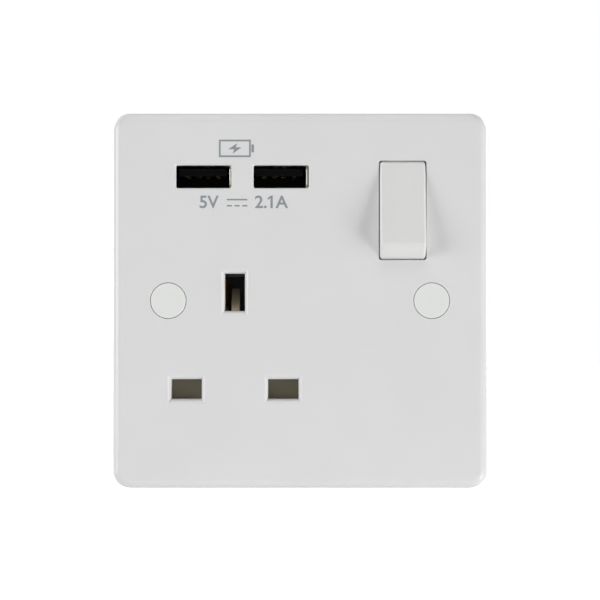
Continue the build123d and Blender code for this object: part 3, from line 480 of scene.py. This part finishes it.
def port_shell(node):
    """Folded tin case of a port: slit at its front corners, with a latch spring in each window."""
    low, high = (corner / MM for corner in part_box(node))
    middle = (low + high) / 2
    bm = cad_copy(node)
    tool = bmesh.new()
    for x in (low.x, high.x):
        for z in (low.z, high.z):
            block(tool, (x, low.y, z), SLIT, math.pi / 4, "Z")
    bm = carve(bm, tool)
    round_off(bm, sharp_edges(bm), SHEET_ROUND, 2)
    for z, way in ((low.z, 1), (high.z, -1)):
        block(bm, (middle.x, low.y + LATCH_PLACE, z + way * LATCH_INSET), LATCH, way * LATCH_LEAN, "X")
    even_faces(stand_for("folded_" + node, bm, node))


port_shell("usb_shell_left")
port_shell("usb_shell_right")


# Screws: steps around, how a slot and a cross are cut and turned, and a thread's depth to its pitch

HEAD_STEPS, THREAD_STEPS = 48, 20
SLOT_WIDTH, SLOT_TURN = 0.95, 0.6
CROSS_WIDTH, CROSS_TURN = 0.85, 0.5
THREAD_DEPTH = 0.55


def turned(profile, x, z, seat, way):
    """Closed round form about a line along Y, from radius and depth behind its seat."""
    bm = bmesh.new()
    verts = [bm.verts.new(Vector((x + r, seat + way * depth, z)) * MM) for r, depth in profile]
    edges = [bm.edges.new(pair) for pair in zip(verts, verts[1:])]
    bmesh.ops.spin(
        bm, geom=verts + edges, cent=Vector((x, 0, z)) * MM, axis=(0, 1, 0), angle=math.tau, steps=HEAD_STEPS,
        use_merge=True,
    )
    merge(bm)
    return bm


def trim(bm, x, z, place, way):
    """Cuts a shape square at a depth, and closes it there."""
    bmesh.ops.bisect_plane(
        bm, geom=[*bm.verts, *bm.edges, *bm.faces], plane_co=Vector((x, place, z)) * MM,
        plane_no=(0, way, 0), clear_outer=True,
    )
    bmesh.ops.holes_fill(bm, edges=[e for e in bm.edges if e.is_boundary], sides=0)


def thread(x, z, seat, way, length, diameter, pitch):
    """Shank with a screw thread: one row of ridges, wound once around while it moves on by a pitch."""
    bm = bmesh.new()
    crest = diameter / 2
    root = crest - THREAD_DEPTH * pitch
    verts = []
    for i in range(2 * int(length / pitch) + 9):
        depth = (i / 2 - 2) * pitch
        verts.append(bm.verts.new(Vector((x + (crest if i % 2 else root), seat + way * depth, z)) * MM))
    edges = [bm.edges.new(pair) for pair in zip(verts, verts[1:])]
    bmesh.ops.spin(
        bm, geom=verts + edges, cent=Vector((x, 0, z)) * MM, axis=(0, 1, 0), angle=math.tau,
        steps=THREAD_STEPS, dvec=(0, way * pitch / THREAD_STEPS * MM, 0), use_merge=False,
    )
    merge(bm)
    trim(bm, x, z, seat + way * length, way)
    trim(bm, x, z, seat, -way)
    return bm


def add_screw(bm, x, z, seat, way, length, diameter, pitch, head, recess):
    """Adds a screw: a head before its seat with a slot or a cross cut into it, and a threaded shank."""
    width, height = head
    half = width / 2
    if recess == "slot":
        profile = [(0, 0), (half - 0.2, 0), (half, -0.2), (half, 0.35 - height), (half - 0.35, -height)]
        bars = ((1.2 * width, SLOT_WIDTH, SLOT_TURN),)
    else:
        profile = [(0, 0), (half - 0.1, 0), (half, -0.1), (half, -0.4 * height)]
        for out, up in ((0.94, 0.62), (0.8, 0.84), (0.55, 0.97)):
            profile.append((half * out, -up * height))
        span = 0.56 * width
        bars = ((span, CROSS_WIDTH, CROSS_TURN), (span, CROSS_WIDTH, CROSS_TURN + math.pi / 2))
    form = turned([*profile, (0, -height)], x, z, seat, way)
    for across, thick, turn in bars:
        tool = bmesh.new()
        block(tool, (x, seat - way * height, z), (across, 0.95 * height, thick), turn)
        form = carve(form, tool)
    for part in (form, thread(x, z, seat, way, length, diameter, pitch)):
        mesh = bpy.data.meshes.new("screw")
        part.to_mesh(mesh)
        part.free()
        bm.from_mesh(mesh)
        bpy.data.meshes.remove(mesh)


def screws(node, places, seat, way, length, diameter, pitch, head, recess):
    """All the screws of a CAD node, in its place."""
    bm = bmesh.new()
    for x, z in places:
        add_screw(bm, x, z, seat, way, length, diameter, pitch, head, recess)
    obj = stand_for("threaded_" + node, bm, node)
    obj.data.set_sharp_from_angle(angle=math.radians(35))


def middle_of(node):
    """Where a node's middle lies in the front view, in millimetres."""
    low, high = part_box(node)
    return (low[0] + high[0]) / 2 / MM, (low[2] + high[2]) / 2 / MM


FIXING_SCREW = {
    "seat": -3.6, "way": 1, "length": 25.0, "diameter": 3.5, "pitch": 0.6,
    "head": (6.6, 2.0), "recess": "slot",
}
CLAMP_SCREW = {
    "seat": 12.9, "way": -1, "length": 6.2, "diameter": 3.9, "pitch": 0.7,
    "head": (6.0, 2.3), "recess": "slot",
}
JOINING_SCREW = {
    "seat": REAR, "way": -1, "length": 16.8, "diameter": 2.9, "pitch": 0.9,
    "head": (5.2, 1.9), "recess": "cross",
}
JOINS = ((-28.6, -12.0), (28.6, -12.0), (14.2, 28.9))

for node in ("fixing_screw_left", "fixing_screw_right"):
    screws(node, [middle_of(node)], **FIXING_SCREW)
for node in ("live_clamp_screw", "neutral_clamp_screw", "earth_clamp_screw"):
    screws(node, [middle_of(node)], **CLAMP_SCREW)
screws("joining_screws", JOINS, **JOINING_SCREW)


# Springs

WIRE_STEPS, TURN_STEPS = 10, 20
SPRING_WIRE = 0.36
ROCKER_SPRING_START = -5.0


def coil(mean, wire, length, turns):
    """Round wire wound along +Z from the origin."""
    bm = bmesh.new()
    stand = Matrix.Translation(Vector((mean / 2, 0, wire / 2)) * MM) @ Matrix.Rotation(math.pi / 2, 4, "X")
    ring = bmesh.ops.create_circle(bm, segments=WIRE_STEPS, radius=wire / 2 * MM, matrix=stand)["verts"]
    steps = TURN_STEPS * turns
    bmesh.ops.spin(
        bm, geom=ring + bm.edges[:], cent=(0, 0, 0), axis=(0, 0, 1), angle=math.tau * turns, steps=steps,
        dvec=(0, 0, (length - wire) / steps * MM), use_merge=False,
    )
    bmesh.ops.holes_fill(bm, edges=[e for e in bm.edges if e.is_boundary], sides=0)
    return bm


def rocker_spring():
    """Spring in the rocker's sleeve, which pushes the plunger out."""
    bm = coil(mean=2.3, wire=SPRING_WIRE, length=9.0, turns=9)
    start = Matrix.Translation(Vector((0, ROCKER_SPRING_START, 0)) * MM)
    lay = start @ Matrix.Rotation(-math.pi / 2, 4, "X")
    bm.transform(Matrix.Translation(PIVOT) @ Matrix.Rotation(TILT, 4, "X") @ lay)
    stand_for("wound_rocker_spring", bm, "rocker_spring")


def shutter_spring():
    """Spring under the shutter, which closes up as the shutter slides down."""
    low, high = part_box("shutter_spring")
    length = (high[2] - low[2]) / MM
    bm = coil(mean=1.74, wire=SPRING_WIRE, length=length, turns=11)
    bm.transform(Matrix.Translation(((low[0] + high[0]) / 2, (low[1] + high[1]) / 2, low[2])))
    obj = stand_for("wound_shutter_spring", bm, "shutter_spring")
    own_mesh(obj)


rocker_spring()
shutter_spring()


# Print and marks


def lettering(text, size, x, z, depth, front, facing=-1, bold=0.0):
    """Letters standing on a face that looks along -Y or +Y, as a mesh."""
    curve = bpy.data.curves.new("letters", "FONT")
    curve.body = text
    curve.size = size * MM
    curve.align_x = "CENTER"
    curve.align_y = "CENTER"
    curve.extrude = depth * MM / 2
    curve.offset = bold * MM
    holder = bpy.data.objects.new("letters", curve)
    bpy.context.scene.collection.objects.link(holder)
    bpy.context.view_layer.update()
    mesh = bpy.data.meshes.new_from_object(holder.evaluated_get(bpy.context.evaluated_depsgraph_get()))
    bpy.data.objects.remove(holder)
    turn = Matrix.Rotation(math.pi if facing > 0 else 0, 4, "Z") @ Matrix.Rotation(math.pi / 2, 4, "X")
    place = Matrix.Translation(Vector((x, front + facing * depth / 2, z)) * MM)
    mesh.transform(place @ turn)
    return mesh


# Thickness of the print, and of the strokes that cross another
INK = 0.02
THICK_INK = 1.5 * INK


def stroke(bm, x0, x1, z0, z1, turn=0.0, ink=INK):
    """Adds a printed bar on the front."""
    block(bm, ((x0 + x1) / 2, FRONT - ink / 2, (z0 + z1) / 2), (x1 - x0, ink, z1 - z0), turn)


# The rating's words, the flag on its 1 and the sign between them
RATING_WORDS = (("5V", -20.9), ("2.1A", -6.6))
RATING_SIZE, RATING_BOLD = 4.0, 0.065
FLAG = (-7.5, -6.45, RATING_Z + 0.93, RATING_Z + 1.29)
FLAG_TURN = -0.67
SIGN_X, SIGN_WIDTH = -16.75, 4.7
LINE_LOW, LINE_HIGH = RATING_Z + 0.5, RATING_Z + 0.85
DASH_LOW, DASH_HIGH = RATING_Z - 0.9, RATING_Z - 0.55
DASH, DASH_STEP = 1.16, 1.77


def rating_print():
    """The rating under the ports, with the sign for direct current between its figures."""
    bm = bmesh.new()
    for text, x in RATING_WORDS:
        bm.from_mesh(lettering(text, RATING_SIZE, x, RATING_Z, INK, FRONT, bold=RATING_BOLD))
    stroke(bm, SIGN_X, SIGN_X + SIGN_WIDTH, LINE_LOW, LINE_HIGH)
    stroke(bm, *FLAG, FLAG_TURN, THICK_INK)
    for i in range(3):
        left = SIGN_X + i * DASH_STEP
        stroke(bm, left, left + DASH, DASH_LOW, DASH_HIGH)
    finish_piece("rating_print", bm, PRINT, "housing", False)


# The battery's sides, half height and line, the bar at its end and the flash in it
BATTERY_LEFT, BATTERY_RIGHT = PICTOGRAM_X - 4.0, PICTOGRAM_X + 3.3
BATTERY_HALF = 2.0
BATTERY_LINE = 0.4
END_GAP, END_REACH, END_HALF = 0.15, 0.7, 0.9
FLASH = ((0.5, 1.2), (-1.5, -0.2), (-0.2, -0.2), (-0.5, -1.2), (1.5, 0.25), (0.2, 0.25))


def charge_print():
    """A plain battery with a flash in it, above the ports."""
    bm = bmesh.new()
    left, right = BATTERY_LEFT, BATTERY_RIGHT
    low, high = PICTOGRAM_Z - BATTERY_HALF, PICTOGRAM_Z + BATTERY_HALF
    inner_low, inner_high = low + BATTERY_LINE, high - BATTERY_LINE
    stroke(bm, left, right, inner_high, high)
    stroke(bm, left, right, low, inner_low)
    stroke(bm, left, left + BATTERY_LINE, inner_low, inner_high)
    stroke(bm, right - BATTERY_LINE, right, inner_low, inner_high)
    stroke(bm, right + END_GAP, right + END_REACH, PICTOGRAM_Z - END_HALF, PICTOGRAM_Z + END_HALF)
    middle = (left + right) / 2
    corners = [bm.verts.new(Vector((middle + x, FRONT, PICTOGRAM_Z + z)) * MM) for x, z in FLASH]
    face = bm.faces.new(corners)
    raised = bmesh.ops.extrude_face_region(bm, geom=[face], use_keep_orig=True)["geom"]
    top = [v for v in raised if isinstance(v, bmesh.types.BMVert)]
    bmesh.ops.translate(bm, verts=top, vec=(0, -INK * MM, 0))
    finish_piece("charge_print", bm, PRINT, "housing", False)


# The raised letters, and the earth sign's stem and bars with how far each lies below the first
MARK_SIZE, MARK_BOLD = 4.6, 0.08
MARK_HEIGHT = 0.2
STEM_WIDTH, STEM_LENGTH, STEM_RISE = 0.5, 1.6, 1.0
BAR_THICKNESS = 0.45
BARS = ((3.2, 0.0), (2.1, 0.8), (1.0, 1.6))


def terminal_marks():
    """Raised letters and the earth sign moulded above the terminals, on the rear face."""
    bm = bmesh.new()
    for text, x in (("L", LIVE_X), ("N", NEUTRAL_X)):
        bm.from_mesh(lettering(text, MARK_SIZE, x, MARK_Z, MARK_HEIGHT, REAR, 1, MARK_BOLD))
    back = REAR + MARK_HEIGHT / 2
    block(bm, (EARTH_X, back, MARK_Z + STEM_RISE), (STEM_WIDTH, MARK_HEIGHT, STEM_LENGTH))
    for width, drop in BARS:
        block(bm, (EARTH_X, back, MARK_Z - drop), (width, MARK_HEIGHT, BAR_THICKNESS))
    finish_piece("terminal_marks", bm, HOUSING, "housing", False)


rating_print()
charge_print()
terminal_marks()


# Light, stage and camera, in metres

LAMP_DISTANCE = 1.0
AMBIENT = 0.09
FLOOR_HALF = 0.8
FLOOR_GAP = 0.0001
FLOOR_GLOW = 0.8


def soft_box(name, direction, size, share):
    """Lamp that looks at the part. A share of 1 would alone show a white face turned to it as white."""
    lamp = bpy.data.lights.new(name, "AREA")
    lamp.shape = "RECTANGLE"
    lamp.size, lamp.size_y = size
    lamp.energy = share * math.pi**2 * LAMP_DISTANCE**2
    obj = bpy.data.objects.new(name, lamp)
    obj.location = Vector(direction).normalized() * LAMP_DISTANCE
    obj.rotation_euler = (-obj.location).to_track_quat("-Z", "Y").to_euler()
    bpy.context.scene.collection.objects.link(obj)


soft_box("right_box", (0.80, -0.38, -0.46), (0.4, 0.4), 0.61)
soft_box("right_panel", (0.92, -0.38, 0.05), (0.35, 0.6), 0.26)
soft_box("left_box", (-0.90, -0.42, 0.08), (0.42, 0.55), 0.62)
soft_box("top_box", (0.05, -0.5, 0.86), (0.6, 0.4), 0.3)
soft_box("low_box", (-0.1, -0.5, -0.86), (0.6, 0.4), 0.12)
soft_box("high_box", (0.0, 0.1, 0.99), (0.6, 0.6), 0.2)
soft_box("rear_left_box", (-0.62, 0.78, 0.05), (0.5, 0.8), 0.36)
soft_box("rear_right_box", (0.62, 0.78, 0.05), (0.5, 0.8), 0.36)


def looked_at(tree):
    """1 where the surroundings are looked at, mirrored or seen through, and 0 where they give light."""
    path = tree.nodes.new("ShaderNodeLightPath")
    most = path.outputs["Is Camera Ray"]
    for kind in ("Is Glossy Ray", "Is Transmission Ray"):
        either = tree.nodes.new("ShaderNodeMath")
        either.operation = "MAXIMUM"
        tree.links.new(most, either.inputs[0])
        tree.links.new(path.outputs[kind], either.inputs[1])
        most = either.outputs[0]
    return most


def studio():
    """White surroundings that light the part only faintly."""
    world = bpy.data.worlds.new("studio")
    world.use_nodes = True
    bpy.context.scene.world = world
    tree = world.node_tree
    background = tree.nodes["Background"]
    background.inputs["Color"].default_value = (1, 1, 1, 1)
    level = tree.nodes.new("ShaderNodeMapRange")
    level.inputs["To Min"].default_value = AMBIENT
    level.inputs["To Max"].default_value = 1.0
    tree.links.new(looked_at(tree), level.inputs["Value"])
    tree.links.new(level.outputs["Result"], background.inputs["Strength"])


def floor():
    """Pale table under the part: it glows for the eye, keeps the shadow and lets the low lamps through."""
    bm = bmesh.new()
    bmesh.ops.create_grid(bm, x_segments=1, y_segments=1, size=FLOOR_HALF)
    bmesh.ops.translate(bm, verts=bm.verts, vec=(0, 0, cad_low.z - FLOOR_GAP))
    mesh = bpy.data.meshes.new("floor")
    bm.to_mesh(mesh)
    bm.free()
    obj = bpy.data.objects.new("floor", mesh)
    bpy.context.scene.collection.objects.link(obj)
    material, tree, shader = new_material("floor_acrylic")
    blend(tree, noise(tree, 40), [0.5, 0.5, 0.5, 1], [0.54, 0.54, 0.54, 1], shader.inputs["Base Color"])
    shader.inputs["Roughness"].default_value = 0.9
    shader.inputs["Emission Color"].default_value = (1, 1, 1, 1)
    glow = tree.nodes.new("ShaderNodeMath")
    glow.operation = "MULTIPLY"
    glow.inputs[1].default_value = FLOOR_GLOW
    tree.links.new(looked_at(tree), glow.inputs[0])
    tree.links.new(glow.outputs[0], shader.inputs["Emission Strength"])
    path = tree.nodes.new("ShaderNodeLightPath")
    side = tree.nodes.new("ShaderNodeNewGeometry")
    through = tree.nodes.new("ShaderNodeMath")
    through.operation = "MAXIMUM"
    tree.links.new(path.outputs["Is Shadow Ray"], through.inputs[0])
    tree.links.new(side.outputs["Backfacing"], through.inputs[1])
    mix = tree.nodes.new("ShaderNodeMixShader")
    tree.links.new(through.outputs[0], mix.inputs["Fac"])
    tree.links.new(shader.outputs[0], mix.inputs[1])
    tree.links.new(tree.nodes.new("ShaderNodeBsdfTransparent").outputs[0], mix.inputs[2])
    tree.links.new(mix.outputs[0], tree.nodes["Material Output"].inputs["Surface"])
    paint(obj, material)


studio()
floor()

# The photo's width in pixels and its pixels to a millimetre at the front, and the eye's place in millimetres
PHOTO_WIDTH = 600
PHOTO_SCALE = 4.37
SENSOR = 36.0
DISTANCE = 430.0
EYE_Z = 0.16

camera = bpy.data.cameras.new("camera")
camera.sensor_width = SENSOR
camera.lens = SENSOR * DISTANCE / (PHOTO_WIDTH / PHOTO_SCALE)
camera_obj = bpy.data.objects.new("camera", camera)
camera_obj.location = Vector((0, FRONT - DISTANCE, EYE_Z)) * MM
camera_obj.rotation_euler = (math.pi / 2, 0, 0)
bpy.context.scene.collection.objects.link(camera_obj)
bpy.context.scene.camera = camera_obj
bpy.context.scene.view_settings.view_transform = "Standard"
